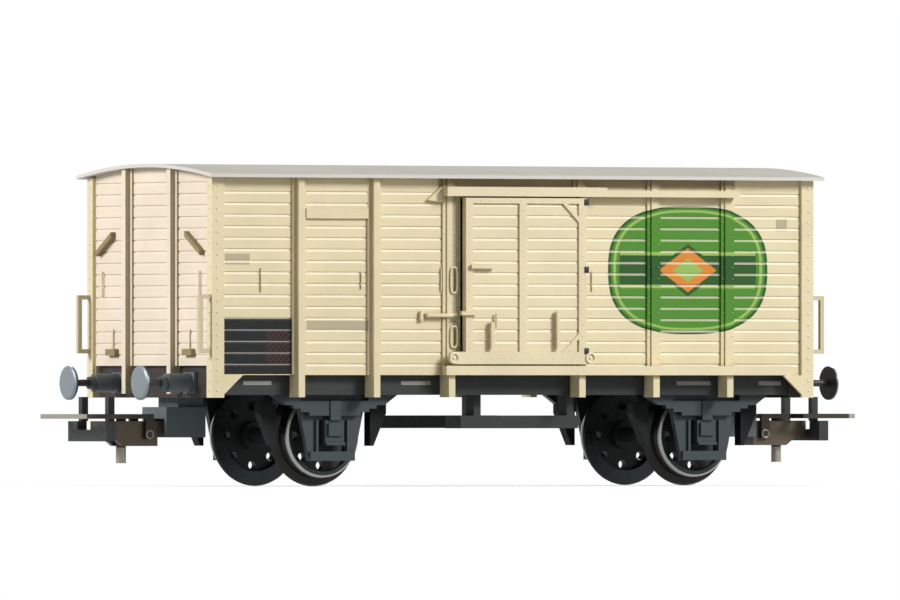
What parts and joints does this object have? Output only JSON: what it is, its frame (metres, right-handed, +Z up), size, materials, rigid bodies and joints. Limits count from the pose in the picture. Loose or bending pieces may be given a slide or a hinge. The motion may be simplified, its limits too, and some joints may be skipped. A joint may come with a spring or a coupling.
{
  "type": "model railway boxcar",
  "caption": "Toy-scale covered goods wagon with boarded walls, arched roof, sliding side doors, disc wheels, buffers and loop couplers.",
  "frame": {"origin": "under the middle of the body, level with the lowest points of the wheel flanges", "axes": "+X along the wagon, +Y across it away from the near side, +Z up"},
  "size_m": [0.1166, 0.0354, 0.0414],
  "materials": {
    "cream_plastic": "matte moulded",
    "black_plastic": "satin moulded",
    "grey_roof": "matte moulded",
    "ballast_steel": "plain rolled",
    "buffer_grey": "painted",
    "wheel_steel": "turned",
    "coupler_metal": "browned",
    "bail_metal": "blackened wire"
  },
  "bodies": {
    "wagon": {"axle_boxes": "black_plastic", "axle_guards": "black_plastic", "ballast_weight": "ballast_steel", "brake_shoes": "black_plastic", "buffer_heads": "buffer_grey", "buffer_housings": "black_plastic", "corner_handrails": "cream_plastic", "corner_posts": "cream_plastic", "coupler_pocket_left": "black_plastic", "coupler_pocket_right": "black_plastic", "cross_members": "black_plastic", "end_grab_bars": "cream_plastic", "end_posts_left": "cream_plastic", "end_posts_right": "cream_plastic", "end_wall_left": "cream_plastic", "end_wall_right": "cream_plastic", "floor": "black_plastic", "headstock_left": "black_plastic", "headstock_right": "black_plastic", "lamp_brackets": "cream_plastic", "leaf_springs": "black_plastic", "lower_door_rail_far": "cream_plastic", "lower_door_rail_near": "cream_plastic", "roof": "grey_roof", "side_posts_far": "cream_plastic", "side_posts_near": "cream_plastic", "side_wall_far": "cream_plastic", "side_wall_near": "cream_plastic", "solebars": "black_plastic", "step_board_far": "black_plastic", "step_board_near": "black_plastic", "upper_door_rail_far": "cream_plastic", "upper_door_rail_near": "cream_plastic", "vent_hatches": "cream_plastic"},
    "wheelset_left": {"axle_left": "wheel_steel", "wheel_discs_left": "black_plastic", "wheel_tyres_left": "wheel_steel"},
    "wheelset_right": {"axle_right": "wheel_steel", "wheel_discs_right": "black_plastic", "wheel_tyres_right": "wheel_steel"},
    "bail_left": {"coupler_bail_left": "bail_metal"},
    "bail_right": {"coupler_bail_right": "bail_metal"},
    "coupler_left": {"coupler_head_left": "black_plastic", "coupler_shank_left": "coupler_metal"},
    "coupler_right": {"coupler_head_right": "black_plastic", "coupler_shank_right": "coupler_metal"},
    "door_far": {"door_frame_far": "cream_plastic", "door_handles_far": "cream_plastic", "door_panel_far": "cream_plastic"},
    "door_near": {"door_frame_near": "cream_plastic", "door_handles_near": "cream_plastic", "door_panel_near": "cream_plastic"}
  },
  "joints": [
    {"name": "wheelset_left_spin", "type": "hinge", "parent": "wagon", "child": "wheelset_left", "pos_m": [-0.0252, 0, 0.0065], "axis": [0, 1, 0], "continuous": true},
    {"name": "wheelset_right_spin", "type": "hinge", "parent": "wagon", "child": "wheelset_right", "pos_m": [0.0308, 0, 0.0065], "axis": [0, 1, 0], "continuous": true},
    {"name": "door_near_slide", "type": "slide", "parent": "wagon", "child": "door_near", "axis": [1, 0, 0], "range_m": [0, 0.0185]},
    {"name": "door_far_slide", "type": "slide", "parent": "wagon", "child": "door_far", "axis": [-1, 0, 0], "range_m": [0, 0.0185]},
    {"name": "coupler_left_swing", "type": "hinge", "parent": "wagon", "child": "coupler_left", "pos_m": [-0.0404, 0, 0.0075], "axis": [0, 0, 1], "range_deg": [-8, 8], "stiffness_Nm_per_rad": 0.002},
    {"name": "coupler_right_swing", "type": "hinge", "parent": "wagon", "child": "coupler_right", "pos_m": [0.0404, 0, 0.0075], "axis": [0, 0, 1], "range_deg": [-8, 8], "stiffness_Nm_per_rad": 0.002},
    {"name": "bail_left_lift", "type": "hinge", "parent": "coupler_left", "child": "bail_left", "pos_m": [-0.0464, 0, 0.0067], "axis": [0, 1, 0], "range_deg": [0, 20]},
    {"name": "bail_right_lift", "type": "hinge", "parent": "coupler_right", "child": "bail_right", "pos_m": [0.0464, 0, 0.0067], "axis": [0, -1, 0], "range_deg": [0, 20]}
  ]
}
